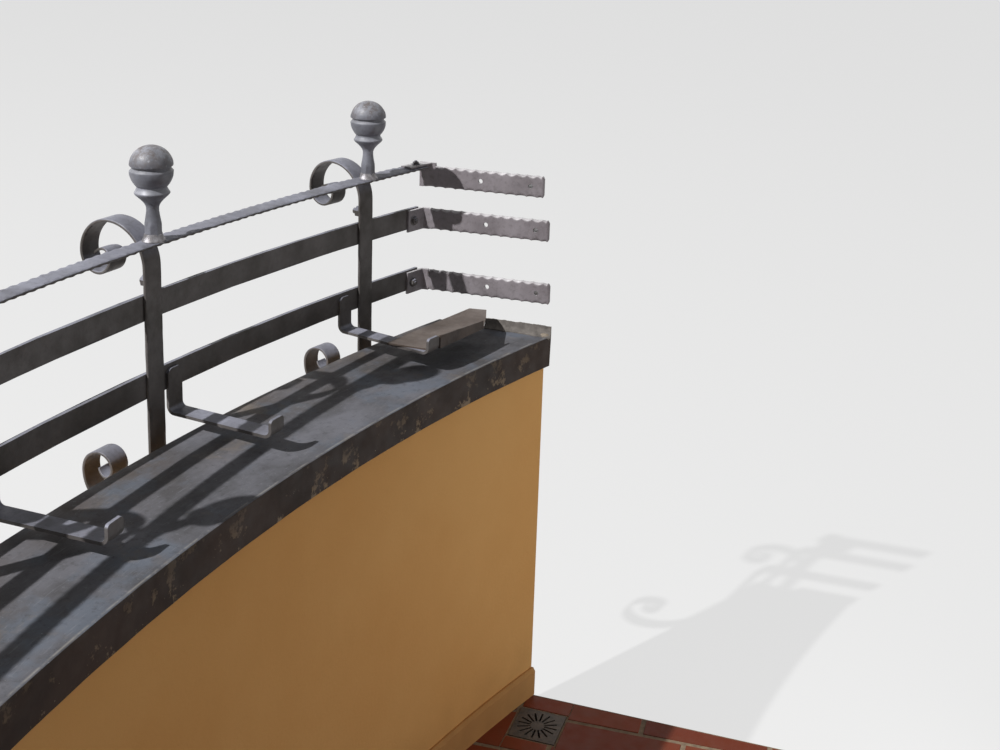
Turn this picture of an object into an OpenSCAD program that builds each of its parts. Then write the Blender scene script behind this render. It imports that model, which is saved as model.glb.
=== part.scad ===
// Curved balcony front: rendered masonry parapet with a sheet metal coping and a wrought iron railing.
// Millimetres, +Z up. The wall of the house is the plane y = 0 and the street side is -y.
// The origin is on that wall, in the middle of the parapet's end, at finished floor level.

/* [Plan] */
// Plan radius of the railing, to the middle of its flat rails
rail_r = 3700; // [3200:10:4400]
// Distance of the curve's centre in front of the house wall
curve_y = 1184; // [1100:2:1260]
// Whole bays between posts
bays = 6; // [2:1:6]
// Length of one bay, measured along the rails
bay_l = 544; // [480:2:640]
// Length of the rails past the first and the last post
end_l = 159; // [120:1:200]
// Gap between the rails' ends and the house wall
wall_gap = 12; // [9:1:20]

/* [Parapet and coping] */
// Thickness of the rendered parapet
parapet_t = 197; // [160:1:240]
// Height of the coping's inner edge above the floor
coping_z = 781; // [700:1:860]
// Fall of the coping from its outer to its inner edge
coping_fall = 5; // [2:1:14]
// How far the coping stands past the inner face of the parapet
coping_in = 12; // [6:1:20]
// How far the coping stands past the outer face of the parapet
coping_out = 10; // [6:1:20]
// Height of the apron on the coping's inner edge
apron_h = 60; // [40:1:70]
// Height of the drip on the coping's outer edge
drip_h = 22; // [14:1:34]
// Thickness of the coping's sheet with its folded edges
sheet_t = 3; // [2:0.5:4]
// Height of the coping's upstand against the house wall
upstand_h = 18; // [10:1:30]
// Clear gap between the coping's outer edge and the middle of the rails
rail_off = 39; // [30:1:45]

/* [Floor] */
// Thickness of the concrete slab
slab_t = 160; // [120:5:220]
// Thickness of the tiles with their bed
bed_t = 20; // [15:1:30]
// Reach of the floor along the house wall, from the parapet's end
floor_w = 1270; // [1150:10:1400]
// Height of the rendered skirting
skirt_h = 62; // [40:1:90]
// Thickness of the rendered skirting
skirt_t = 8; // [6:1:20]
// Side of the square drain grate
drain_w = 96; // [90:1:110]
// Distance of the grate's middle from the middle of the parapet's wall end
drain_x = 149; // [140:1:160]
// Distance of the grate's middle from the house wall
drain_y = 98; // [80:1:120]

/* [Railing] */
// Thickness of the two flat rails
rail_t = 6; // [5:1:10]
// Height of the two flat rails
rail_h = 40; // [30:1:45]
// Top of the lower rail above the coping
low_rail = 110; // [100:1:120]
// Top of the upper rail above the coping
mid_rail = 233; // [210:1:250]
// Underside of the handrail above the coping
hand_rail = 311; // [300:1:316]
// Width of the handrail, a flat bar laid flat
hand_w = 26; // [22:1:30]
// Thickness of the handrail
hand_t = 5; // [4:1:8]
// Distance of the handrail's middle inside the middle of the flat rails
hand_in = 10.5; // [9:0.5:14]
// Width of the posts and scrolls
bar_w = 38; // [30:1:45]
// Thickness of the posts and scrolls
post_t = 5; // [4:0.5:7]
// Height above the coping at which a post starts to curl into its top scroll
post_top = 273; // [270:1:280]
// Depth below the coping at which a post starts to curl into its lower scroll
post_low = 54; // [50:1:70]
// Depth below the coping of the stub that holds a post to the parapet
stub_down = 44; // [35:1:50]

/* [Scrolls and finials] */
// Radius of a scroll's first turn, to the middle of the bar
turn_1 = 66; // [62:1:70]
// Radius of the second turn
turn_2 = 54; // [50:1:58]
// Radius of the third turn
turn_3 = 30.5; // [29.5:0.5:33]
// Radius of the fourth turn
turn_4 = 21; // [19:1:23]
// Radius of the last turn, at the hammered tip
turn_5 = 23; // [20:1:24]
// Size of the lower scroll against the upper one
low_scroll = 1.13; // [1:0.01:1.2]
// Width of a scroll's hammered tip
tip_w = 12; // [8:1:20]
// Height of a finial
finial_h = 143; // [130:1:160]
// Radius of a finial's ball
ball_r = 32.5; // [30:0.5:36]
// Radius of a finial's collar
collar_r = 26.5; // [24:0.5:28]
// Radius of a finial's neck
neck_r = 10; // [9:0.5:12]

/* [Box brackets and wall straps] */
// Distances of the first three flower box brackets from the rails' wall end
first_brackets = [217, 660, 1046];
// Distance between the other brackets along the rails
bracket_step = 415; // [400:5:430]
// Width of the brackets
bracket_w = 32; // [28:1:36]
// Reach of a bracket's arm from the rails
bracket_reach = 192; // [180:1:205]
// How much further the first bracket reaches than the others
first_reach = 9; // [0:1:10]
// Height of a bracket's arm above the coping
bracket_z = 32; // [28:1:40]
// How much higher the first bracket's arm sits than the others
first_lift = 8; // [0:1:10]
// Height of a bracket's upturned tip
bracket_tip = 27; // [20:1:40]
// Width of the box rest's leaf
rest_w = 88; // [80:1:92]
// Height of the box rest's lip at the bracket
rest_lip = 24; // [18:1:26]
// Thickness of the box rest's sheet
rest_t = 3; // [2:0.5:4]
// Thickness of brackets and wall straps
strap_t = 5; // [4:0.5:7]
// Height of the wall straps
strap_h = 43; // [38:1:46]
// Pitch of the hammered hollows along the straps' edges
hollow_step = 23; // [20:1:26]
// Depth of those hollows
hollow_d = 1.5; // [0.5:0.1:2]
// Distance between a strap's two screw holes
hole_gap = 100; // [80:1:110]
// Distance from a strap's end to its outer hole
hole_end = 27; // [20:1:34]
// Radius of the screw holes
hole_r = 4.5; // [3:0.5:6]

/* [Hidden] */
$fn = 96;
round_fn = 720;

wall_a = 180 - asin((curve_y - wall_gap) / rail_r);
coping_ro = rail_r - rail_off;
wall_ro = coping_ro - coping_out;
wall_ri = wall_ro - parapet_t;
coping_ri = wall_ri - coping_in;
mid_r = (wall_ro + wall_ri) / 2;
curve_x = sqrt(mid_r * mid_r - curve_y * curve_y);
run_l = bays * bay_l + 2 * end_l;
cut_a = wall_a + arc_deg(run_l);
parapet_n = 6;
coping_n = 3;
step = run_l / parapet_n;
low_z = coping_z + low_rail;
mid_z = coping_z + mid_rail;
hand_z = coping_z + hand_rail;
post_x = -rail_t / 2 - post_t / 2;
hand_x = -hand_in;
bracket_s = concat(first_brackets, [for (i = [1:5]) first_brackets[2] + i * bracket_step]);
strap_z = [low_z - rail_h / 2 - 5, mid_z - rail_h / 2 - 4, hand_z - strap_h / 2 + 4];
strap_end = [112, 106, 93];

// Degrees of turn for a length along the rails
function arc_deg(l) = l / rail_r * 180 / PI;

// Distance of post number i from the rails' wall end
function post_s(i) = end_l + (i - 1) * bay_l;

// Plan point at a radius and an angle round the curve's centre
function plan_at(r, a) = [curve_x + r * cos(a), -curve_y + r * sin(a)];

// Sweeps a profile of radius and height round the curve, between two distances from the wall end
module sweep(from, to) {
    translate([curve_x, -curve_y, 0])
        rotate([0, 0, wall_a + arc_deg(from)])
            rotate_extrude(angle = arc_deg(to - from), $fn = round_fn)
                children();
}

// Space behind the plane of the house wall
module house_side() {
    translate([-1000, 0, -500]) cube([3000, 800, 2500]);
}

// Sweeps a profile from the house wall, where the plane of the wall cuts it
module sweep_from_wall(to) {
    past = 240;
    difference() {
        sweep(-past, to) children();
        house_side();
    }
}

// Places children on the rails at a distance from the wall end, with x outward and y along the rails
module on_rails(s) {
    translate([curve_x, -curve_y, 0])
        rotate([0, 0, wall_a + arc_deg(s)])
            translate([rail_r, 0, 0])
                children();
}

// Flat bar bent to an arc in the xz plane, its width along y
module bent_bar(r, from, to, t, w) {
    rotate([90, 0, 0])
        rotate([0, 0, from])
            rotate_extrude(angle = to - from)
                translate([r - t / 2, -w / 2]) square([t, w]);
}

// Plan of the floor, cut square to the curve at the free end
module floor_plan() {
    cut = plan_at(rail_r + 200, cut_a);
    inner = plan_at((floor_w - curve_x) / cos(cut_a), cut_a);
    polygon([[-600, 0], [floor_w, 0], inner, cut, [-1200, cut[1]]]);
}

module slab() {
    color("gainsboro")
        intersection() {
            translate([curve_x, -curve_y, -bed_t - slab_t])
                cylinder(r = wall_ro, h = slab_t, $fn = round_fn);
            translate([0, 0, -bed_t - slab_t - 1])
                linear_extrude(slab_t + 2) floor_plan();
        }
}

module drain_at() {
    translate([drain_x, -drain_y, 0]) children();
}

module tile_bed() {
    color("sienna")
        difference() {
            intersection() {
                translate([curve_x, -curve_y, -bed_t])
                    cylinder(r = wall_ri, h = bed_t, $fn = round_fn);
                translate([0, 0, -bed_t - 1])
                    linear_extrude(bed_t + 2) floor_plan();
            }
            drain_at()
                translate([-drain_w / 2, -drain_w / 2, -bed_t - 1])
                    cube([drain_w, drain_w, bed_t + 2]);
        }
}

module drain_grate() {
    slots = 16;
    slot_w = 4;
    slot_l = 26;
    hub_r = 14;
    play = 1;
    side = drain_w - 2 * play;
    rim = 8;
    floor_t = 6;
    lid_t = 5;
    color("dimgray")
        drain_at()
            difference() {
                translate([-side / 2, -side / 2, -bed_t])
                    cube([side, side, bed_t]);
                translate([0, 0, floor_t - bed_t])
                    cylinder(r = drain_w / 2 - rim, h = bed_t - floor_t - lid_t);
                for (i = [0:slots - 1])
                    rotate([0, 0, i * 360 / slots])
                        translate([hub_r, -slot_w / 2, floor_t + 1 - bed_t])
                            cube([slot_l, slot_w, bed_t]);
            }
}

module skirting() {
    bevel = skirt_t;
    color("navajowhite")
        sweep_from_wall(run_l)
            polygon([
                [wall_ri - skirt_t, 0],
                [wall_ri, 0],
                [wall_ri, skirt_h],
                [wall_ri - skirt_t / 2, skirt_h],
                [wall_ri - skirt_t, skirt_h - bevel]
            ]);
}

// Section of the parapet, its top sloped like the coping on it
module parapet_profile() {
    slope = coping_fall / (coping_ro - coping_ri);
    polygon([
        [wall_ri, -bed_t],
        [wall_ro, -bed_t],
        [wall_ro, coping_z - sheet_t + (wall_ro - coping_ri) * slope],
        [wall_ri, coping_z - sheet_t + (wall_ri - coping_ri) * slope]
    ]);
}

module parapet(i) {
    color("khaki")
        if (i == 1) sweep_from_wall(step) parapet_profile();
        else sweep((i - 1) * step, i * step) parapet_profile();
}

// Section of the sheet metal coping: apron, sloped top and drip
module coping_profile() {
    slope = coping_fall / (coping_ro - coping_ri);
    polygon([
        [coping_ri, coping_z - apron_h],
        [coping_ri + sheet_t, coping_z - apron_h],
        [coping_ri + sheet_t, coping_z - sheet_t + sheet_t * slope],
        [coping_ro - sheet_t, coping_z - sheet_t + coping_fall - sheet_t * slope],
        [coping_ro - sheet_t, coping_z + coping_fall - drip_h],
        [coping_ro, coping_z + coping_fall - drip_h],
        [coping_ro, coping_z + coping_fall],
        [coping_ri, coping_z]
    ]);
}

module coping(i) {
    part_l = run_l / coping_n;
    color("dimgray")
        if (i == 1) sweep_from_wall(part_l) coping_profile();
        else sweep((i - 1) * part_l, i * part_l) coping_profile();
}

module coping_upstand() {
    inner = curve_x - sqrt(coping_ri * coping_ri - curve_y * curve_y);
    outer = -17;
    color("dimgray")
        translate([outer, -sheet_t, coping_z + coping_fall])
            cube([inner - outer, sheet_t, upstand_h]);
}

module flat_rail(top) {
    sweep(0, run_l)
        translate([rail_r - rail_t / 2, top - rail_h])
            square([rail_t, rail_h]);
}

module lower_rail() {
    color("slategray") flat_rail(low_z);
}

module upper_rail() {
    color("slategray") flat_rail(mid_z);
}

module handrail() {
    color("slategray")
        sweep(0, run_l)
            translate([rail_r + hand_x - hand_w / 2, hand_z])
                square([hand_w, hand_t]);
}

// Post: a flat bar on the inner side of the rails, with a stub to the parapet's outer face
module post(i) {
    stub_x = wall_ro - rail_r;
    stub_t = 10;
    color("slategray")
        on_rails(post_s(i)) {
            translate([post_x - post_t / 2, -bar_w / 2, coping_z - post_low])
                cube([post_t, bar_w, post_low + post_top]);
            translate([stub_x, -bar_w / 2, coping_z - stub_down])
                cube([post_x - stub_x, bar_w, stub_t]);
        }
}

// Scrolls: the post's two ends, rolled outward through five turns of falling radius
module scroll(i) {
    color("lightslategray")
        on_rails(post_s(i)) {
            translate([post_x, 0, coping_z + post_top])
                spiral_end(1);
            translate([post_x, 0, coping_z - post_low])
                mirror([0, 0, 1]) spiral_end(low_scroll);
        }
}

// Turns that run smoothly into each other, the last one hammered to a narrow tip
module spiral_end(size) {
    r = [turn_1, turn_2, turn_3, turn_4, turn_5] * size;
    x2 = r[0];
    z2 = r[0] - r[1];
    x3 = x2 + r[1] - r[2];
    z4 = z2 - r[2] + r[3];
    z5 = z4 + r[3] - r[4];
    translate([r[0], 0, 0]) bent_bar(r[0], 90, 180, post_t, bar_w);
    translate([x2, 0, z2]) bent_bar(r[1], 0, 90, post_t, bar_w);
    translate([x3, 0, z2]) bent_bar(r[2], 270, 360, post_t, bar_w);
    intersection() {
        union() {
            translate([x3, 0, z4]) bent_bar(r[3], 90, 270, post_t, bar_w);
            translate([x3, 0, z5]) bent_bar(r[4], 8, 90, post_t, bar_w);
        }
        union() {
            translate([x3 - 2 * r[3], -bar_w, z4 - 2 * r[3]])
                cube([2 * r[3] + 1, 2 * bar_w, 2 * r[3]]);
            translate([x3, 0, z4])
                linear_extrude(2 * r[3])
                    polygon([
                        [-2 * r[3], -bar_w],
                        [-2 * r[3], bar_w],
                        [-r[3] - post_t, bar_w / 2 + 1],
                        [r[4] + post_t, tip_w / 2],
                        [r[4] + post_t, -tip_w / 2],
                        [-r[3] - post_t, -bar_w / 2 - 1]
                    ]);
        }
    }
}

// Turned finial: faceted foot, neck, flared collar and a ball with a groove round it
module finial(i) {
    ball_z = finial_h - ball_r;
    bowl_z = 85;
    rim_z = 74;
    cove = 22;
    foot = 13;
    foot_z = 24;
    groove_z = ball_z + 1;
    groove_h = 4;
    groove_d = 3.5;
    shoulder = 5;
    bowl_r = sqrt(pow(ball_r, 2) - pow(ball_z - bowl_z, 2));
    color("slategray")
        on_rails(post_s(i))
            translate([hand_x, 0, hand_z + hand_t]) {
                intersection() {
                    rotate([0, 0, 22.5]) cylinder(d = 2 * foot / cos(22.5), h = rim_z - cove, $fn = 8);
                    union() {
                        cylinder(r = foot + 2, h = foot_z);
                        translate([0, 0, foot_z])
                            cylinder(r1 = foot + 2, r2 = neck_r, h = rim_z - cove - foot_z);
                    }
                }
                difference() {
                    translate([0, 0, rim_z - cove - 1]) cylinder(r = collar_r, h = cove + 1);
                    translate([0, 0, rim_z - cove])
                        rotate_extrude() translate([neck_r + cove, 0]) circle(r = cove);
                    translate([0, 0, rim_z - cove - 2])
                        difference() {
                            cylinder(r = collar_r + 1, h = 2);
                            translate([0, 0, -1]) cylinder(r = neck_r, h = 4);
                        }
                }
                translate([0, 0, rim_z])
                    cylinder(r1 = collar_r, r2 = bowl_r, h = bowl_z - rim_z);
                intersection() {
                    translate([0, 0, ball_z]) sphere(r = ball_r);
                    translate([0, 0, bowl_z - 4]) cylinder(r = ball_r + 1, h = 2 * ball_r);
                    difference() {
                        cylinder(r = ball_r + 1, h = finial_h + 1);
                        rotate_extrude()
                            polygon([
                                [ball_r - groove_d, groove_z],
                                [ball_r - groove_d, groove_z + groove_h],
                                [ball_r + 2, groove_z + groove_h],
                                [ball_r + 2, groove_z - shoulder],
                                [ball_r - 0.5, groove_z - shoulder]
                            ]);
                    }
                }
            }
}

// Plate in the xz plane with its two top corners rounded, its thickness along y
module round_top(w, h, t, r) {
    translate([0, t / 2, 0])
        rotate([90, 0, 0])
            linear_extrude(t)
                union() {
                    translate([-w / 2, 0]) square([w, h - r]);
                    translate([-w / 2 + r, 0]) square([w - 2 * r, h]);
                    for (x = [-w / 2 + r, w / 2 - r])
                        translate([x, h - r]) circle(r = r);
                }
}

// Bracket for a flower box: fixed to the lower rail, bent in over the coping and turned up at its tip
module bracket(lift, longer) {
    bend = 11;
    leg_x = -rail_t / 2 - strap_t / 2;
    leg_top = low_z - 7;
    leg_round = 10;
    tip_round = 6;
    arm_z = coping_z + bracket_z + lift;
    reach = bracket_reach + longer;
    tip_x = leg_x - reach;
    translate([leg_x, 0, arm_z + bend])
        rotate([0, 0, 90]) round_top(bracket_w, leg_top - arm_z - bend, strap_t, leg_round);
    translate([leg_x - bend, 0, arm_z + bend])
        bent_bar(bend, 270, 360, strap_t, bracket_w);
    translate([tip_x + bend, -bracket_w / 2, arm_z - strap_t / 2])
        cube([reach - 2 * bend, bracket_w, strap_t]);
    translate([tip_x + bend, 0, arm_z + bend])
        bent_bar(bend, 180, 270, strap_t, bracket_w);
    translate([tip_x, 0, arm_z + bend])
        rotate([0, 0, 90]) round_top(bracket_w, bracket_tip - bend, strap_t, tip_round);
}

module box_brackets() {
    color("slategray")
        for (i = [0:len(bracket_s) - 1])
            on_rails(bracket_s[i])
                bracket(i == 0 ? first_lift : 0, i == 0 ? first_reach : 0);
}

// Sheet rest from the first bracket towards the house wall, with an upturned lip on its inner side
module box_rest() {
    in_x = -rail_t / 2 - strap_t - bracket_reach - first_reach - 2;
    out_x = in_x + rest_w;
    top = coping_z + bracket_z + first_lift + strap_t / 2;
    tip_y = -bracket_w / 2 - 1;
    lip_far = -153;
    snip = [30, -54];
    far_y = -244;
    color("slategray")
        on_rails(bracket_s[0])
            translate([0, 0, top])
                union() {
                    linear_extrude(rest_t)
                        polygon([
                            [out_x, 25],
                            [in_x + strap_t + 3, 5],
                            [in_x + strap_t + 3, tip_y],
                            [in_x, tip_y],
                            [in_x, lip_far],
                            [in_x, lip_far] + snip,
                            [out_x - 34, far_y],
                            [out_x - 3, far_y + 13]
                        ]);
                    translate([in_x, 0, 0])
                        rotate([90, 0, 90])
                            linear_extrude(rest_t)
                                polygon([
                                    [tip_y, 0],
                                    [tip_y, rest_lip],
                                    [lip_far, rest_lip - 8],
                                    [lip_far, 0]
                                ]);
                }
}

// Upright face of a strap with rounded corners at its free end and hammered hollows along both edges
module strap_face(from, to) {
    hollow_r = hollow_step * hollow_step / (8 * hollow_d);
    tip_r = 6;
    difference() {
        union() {
            translate([from, -strap_h / 2]) square([to - from - tip_r, strap_h]);
            translate([from, -strap_h / 2 + tip_r]) square([to - from, strap_h - 2 * tip_r]);
            for (z = [-1, 1])
                translate([to - tip_r, z * (strap_h / 2 - tip_r)]) circle(r = tip_r);
        }
        for (x = [to - tip_r - hollow_step / 2 : -hollow_step : from + hollow_step / 2], z = [-1, 1])
            translate([x, z * (strap_h / 2 - hollow_d + hollow_r)])
                circle(r = hollow_r);
        for (x = [to - hole_end, to - hole_end - hole_gap])
            translate([x, 0]) circle(r = hole_r);
    }
}

// Plan corner where the rails' inner face meets the house wall
function strap_corner() =
    let (start = plan_at(rail_r - rail_t / 2, wall_a))
    start - [-sin(wall_a), cos(wall_a)] * (start[1] / cos(wall_a));

// Strap from a rail's end to the house wall: bolted inside the rail, bent, and drilled for two screws
module wall_strap(i) {
    leg = 48;
    face = [cos(wall_a), sin(wall_a)];
    along = [-sin(wall_a), cos(wall_a)];
    corner = strap_corner();
    heel = corner - face * strap_t;
    inside = heel + along * ((-strap_t - heel[1]) / along[1]);
    translate([0, 0, strap_z[i]])
        rotate([90, 0, 0])
            linear_extrude(strap_t) strap_face(inside[0], strap_end[i]);
    translate([0, 0, strap_z[i] - strap_h / 2 + hollow_d])
        linear_extrude(strap_h - 2 * hollow_d)
            polygon([
                corner,
                corner + along * leg,
                corner + along * leg - face * strap_t,
                inside,
                [inside[0] + 1, -strap_t],
                [inside[0] + 1, 0]
            ]);
}

module wall_strap_low() {
    color("slategray") wall_strap(0);
}

module wall_strap_mid() {
    color("slategray") wall_strap(1);
}

// The top strap has no leg: a lug rises from it behind the handrail's end and folds over it
module wall_strap_top() {
    lug_l = 48;
    lug_w = hand_w + 8;
    start = strap_corner()[0] - 6;
    past = 40;
    color("slategray") {
        translate([0, 0, strap_z[2]])
            rotate([90, 0, 0])
                linear_extrude(strap_t) strap_face(start, strap_end[2]);
        translate([start, -strap_t, strap_z[2]])
            cube([lug_w, strap_t, hand_z + hand_t + strap_t - strap_z[2]]);
        difference() {
            on_rails(0)
                translate([hand_x - hand_w / 2, -past, hand_z + hand_t])
                    cube([hand_w, past + lug_l, strap_t]);
            house_side();
        }
    }
}

slab();
tile_bed();
skirting();
drain_grate();
for (i = [1:parapet_n])
    parapet(i);
for (i = [1:coping_n])
    coping(i);
coping_upstand();
handrail();
upper_rail();
lower_rail();
for (i = [1:bays + 1])
    post(i);
for (i = [1:bays + 1])
    scroll(i);
for (i = [1:bays + 1])
    finial(i);
box_brackets();
box_rest();
wall_strap_low();
wall_strap_mid();
wall_strap_top();
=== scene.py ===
import math
import random

import bmesh
import bpy
from mathutils import Matrix, Vector, noise


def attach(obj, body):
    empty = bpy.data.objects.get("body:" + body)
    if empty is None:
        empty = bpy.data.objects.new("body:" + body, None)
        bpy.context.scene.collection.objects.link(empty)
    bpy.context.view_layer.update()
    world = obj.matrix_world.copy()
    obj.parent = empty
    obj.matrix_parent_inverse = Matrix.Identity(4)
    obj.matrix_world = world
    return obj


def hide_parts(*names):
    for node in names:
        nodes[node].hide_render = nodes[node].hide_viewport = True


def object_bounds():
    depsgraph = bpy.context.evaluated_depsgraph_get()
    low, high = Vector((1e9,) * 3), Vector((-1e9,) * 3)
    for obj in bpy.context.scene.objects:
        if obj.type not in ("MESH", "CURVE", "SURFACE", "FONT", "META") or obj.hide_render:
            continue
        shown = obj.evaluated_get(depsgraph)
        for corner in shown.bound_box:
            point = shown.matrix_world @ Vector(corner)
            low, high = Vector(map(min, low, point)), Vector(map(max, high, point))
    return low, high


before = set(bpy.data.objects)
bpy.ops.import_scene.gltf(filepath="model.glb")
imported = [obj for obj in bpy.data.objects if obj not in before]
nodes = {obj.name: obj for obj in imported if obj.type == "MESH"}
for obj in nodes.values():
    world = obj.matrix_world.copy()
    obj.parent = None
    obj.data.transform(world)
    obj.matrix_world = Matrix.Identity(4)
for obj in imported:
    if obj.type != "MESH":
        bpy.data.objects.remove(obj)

# Looks of the curved balcony front. Metres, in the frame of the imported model: the house wall is
# the plane y = 0, the floor is z = 0, and the parapet curves away towards -y.

cad_low, cad_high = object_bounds()
random.seed(11)

# Plan, as the part's source has it
RAIL_R = 3.700
CURVE_Y = 1.184
WALL_GAP = 0.012
BAY_L = 0.544
END_L = 0.159
BAYS = 6

# Parapet and coping
PARAPET_T = 0.197
COPING_Z = 0.781
COPING_FALL = 0.005
COPING_IN = 0.012
COPING_OUT = 0.010
APRON_H = 0.060
DRIP_H = 0.022
SHEET_T = 0.003
UPSTAND_H = 0.018
UPSTAND_X = -0.017

# Rails, and the handrail as it is drawn out by the hammer: wider on its inner side
RAIL_OFF = 0.039
RAIL_T = 0.006
HAND_Z = COPING_Z + 0.311
HAND_W = 0.026
HAND_T = 0.005
HAND_X = -0.0105
HAND_FORGED_W = 0.030
HAND_FORGED_IN = 0.004

# Posts and their scrolls: the turns as (radius, degrees), and how far a tip is drawn out as
# (length that narrows, width at the end, thickness at the end)
BAR_W = 0.038
POST_T = 0.005
POST_X = -RAIL_T / 2 - POST_T / 2
POST_TOP = COPING_Z + 0.273
POST_LOW = COPING_Z - 0.054
STUB_Z = COPING_Z - 0.044
STUB_T = 0.010
UPPER_TURNS = ((0.066, 90), (0.054, 90), (0.0305, 90), (0.024, 90), (0.0135, 95), (0.050, 40))
LOWER_TURNS = ((0.0746, 90), (0.0610, 90), (0.0345, 90), (0.0237, 90), (0.0170, 160))
UPPER_TIP = (0.048, 0.003, 0.002)
LOWER_TIP = (0.030, 0.022, 0.004)
LOW_DROP = {2: 0.008}

# Straps, from the lowest to the top one
STRAP_T = 0.005
STRAP_HALF_H = 0.0215
STRAP_END = (0.112, 0.106, 0.093)
STRAP_Z = (0.866, 0.990, 1.0745)
STRAP_LEG = 0.048
STRAP_BEND = 0.007
HOLE_END = 0.027
HOLE_GAP = 0.100
HOLE_R = 0.0045
HAMMER_STEP = 0.0205

# Nuts as (width across flats, height, washer's radius, bolt's length past it), and where they sit
FIRST_POST_NUT = (0.019, 0.010, 0.0115, 0.007)
POST_NUT = (0.016, 0.008, 0.010, 0.003)
STRAP_NUT = (0.013, 0.005, 0.0095, 0.0015)
LUG_NUT = (0.010, 0.004, 0.008, 0.0015)
POST_NUT_Z = COPING_Z + 0.250
STRAP_NUT_S = 0.019

# Floor
FLOOR_W = 1.270
BED_T = 0.020
DRAIN_W = 0.096
DRAIN_AT = (0.149, -0.098)
TILE_L = 0.240
TILE_W = 0.115
TILE_GAP = 0.010
TILE_TURN = 2.6
TILE_ORIGIN = (0.6563, 0.5854)
TILE_SHIFT = -0.0864
TILE_SOFT = 0.0008
EDGE_GAP = 0.004
JOINT_DEPTH = 0.0015
SMALLEST_TILE = 2e-5

COPING_RO = RAIL_R - RAIL_OFF
WALL_RO = COPING_RO - COPING_OUT
WALL_RI = WALL_RO - PARAPET_T
COPING_RI = WALL_RI - COPING_IN
CURVE_X = math.sqrt(((WALL_RO + WALL_RI) / 2) ** 2 - CURVE_Y ** 2)
COPING_INNER_X = CURVE_X - math.sqrt(COPING_RI ** 2 - CURVE_Y ** 2)
WALL_A = math.pi - math.asin((CURVE_Y - WALL_GAP) / RAIL_R)
RUN_L = BAYS * BAY_L + 2 * END_L
CUT_A = WALL_A + RUN_L / RAIL_R
CENTRE = Vector((CURVE_X, -CURVE_Y, 0))
POSTS = range(1, BAYS + 2)


def on_rails(s):
    """Matrix of a place on the rails at a distance from the wall end. Its x axis points outward and
    its y axis runs along the rails."""
    turn = Matrix.Rotation(WALL_A + s / RAIL_R, 4, "Z")
    return Matrix.Translation(CENTRE) @ turn @ Matrix.Translation((RAIL_R, 0, 0))


def at_post(number):
    """Matrix of a post's place on the rails."""
    return on_rails(END_L + (number - 1) * BAY_L)


def at_foot(number):
    """Matrix of a finial's foot on the handrail."""
    return at_post(number) @ Matrix.Translation((HAND_X, 0, HAND_Z + HAND_T))


def outward(matrix):
    """Direction towards the street at a place on the rails."""
    return (matrix.to_3x3() @ Vector((1, 0, 0))).normalized()


def at_plan(r, a, z):
    """Point at a radius, an angle round the curve's centre and a height."""
    return Vector((CURVE_X + r * math.cos(a), -CURVE_Y + r * math.sin(a), z))


def wall_angle(r):
    """Angle at which a circle round the curve's centre meets the house wall."""
    return math.pi - math.asin(CURVE_Y / r)


def coping_top(r):
    """Height of the coping's top at a radius."""
    return COPING_Z + (r - COPING_RI) * COPING_FALL / (COPING_RO - COPING_RI)


def wander(x, y, z, seed):
    """Smooth noise between 0 and 1."""
    return 0.5 + 0.5 * noise.noise(Vector((x + 17.3 * seed, y + 5.1 * seed, z)))


# Materials

def linear(rgb):
    """Colour from 0 to 255 as Blender's linear colour."""
    def one(c):
        c /= 255
        return c / 12.92 if c <= 0.04045 else ((c + 0.055) / 1.055) ** 2.4
    return tuple(one(c) for c in rgb) + (1,)


class Nodes:
    """A node tree whose nodes are added by short calls."""

    def __init__(self, tree):
        self.tree = tree

    def add(self, kind, inputs=None, **settings):
        """A new node, with its inputs linked or set."""
        node = self.tree.nodes.new(kind)
        for key, value in settings.items():
            setattr(node, key, value)
        for key, value in (inputs or {}).items():
            if isinstance(value, bpy.types.NodeSocket):
                self.tree.links.new(value, node.inputs[key])
            else:
                node.inputs[key].default_value = value
        return node

    def maths(self, operation, a, b=0.0):
        """Result of a calculation with one or two values."""
        return self.add("ShaderNodeMath", {0: a, 1: b}, operation=operation).outputs[0]

    def seen(self):
        """1 for rays from the camera, and for those that shiny and clear surfaces send on."""
        path = self.add("ShaderNodeLightPath").outputs
        shiny = self.maths("MAXIMUM", path["Is Glossy Ray"], path["Is Transmission Ray"])
        return self.maths("MAXIMUM", path["Is Camera Ray"], shiny)


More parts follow.
